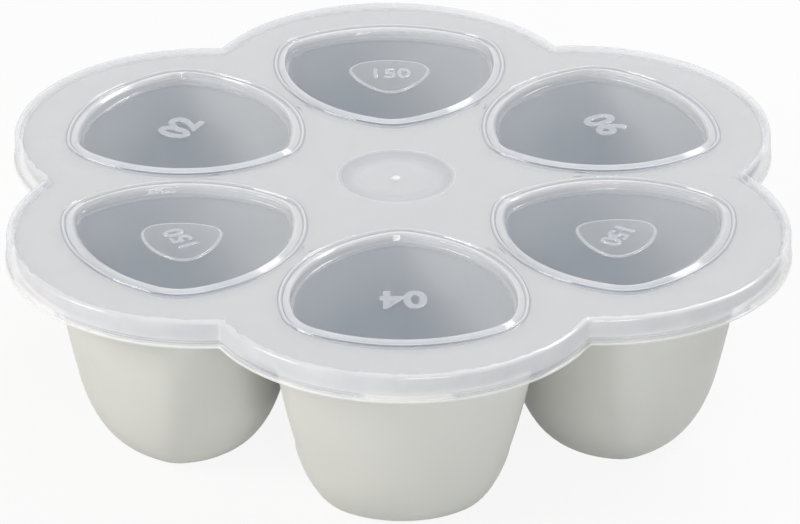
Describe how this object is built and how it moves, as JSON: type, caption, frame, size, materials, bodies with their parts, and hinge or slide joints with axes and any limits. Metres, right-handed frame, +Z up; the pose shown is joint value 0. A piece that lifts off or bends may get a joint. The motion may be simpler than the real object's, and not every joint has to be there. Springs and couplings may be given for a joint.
{
  "type": "baby food freezer tray",
  "caption": "Soft silicone tray of deep rounded-triangle cups under a lobed flange, capped by a frosted lid with a sunken window over each cup.",
  "frame": {"origin": "middle of the footprint, on the surface that the cups stand on", "axes": "+Z up, -Y towards the front cup, +X to the right"},
  "size_m": [0.2312, 0.2488, 0.0665],
  "materials": {
    "silicone": "matte silicone, light warm grey",
    "frosted_plastic": "frosted and slightly see-through"
  },
  "bodies": {
    "tray": {"silicone_tray": "silicone"},
    "lid": {"lid": "frosted_plastic"}
  },
  "joints": [
    {"name": "lid_lift", "type": "slide", "parent": "tray", "child": "lid", "axis": [0, 0, 1], "range_m": [0, 0.08]}
  ]
}
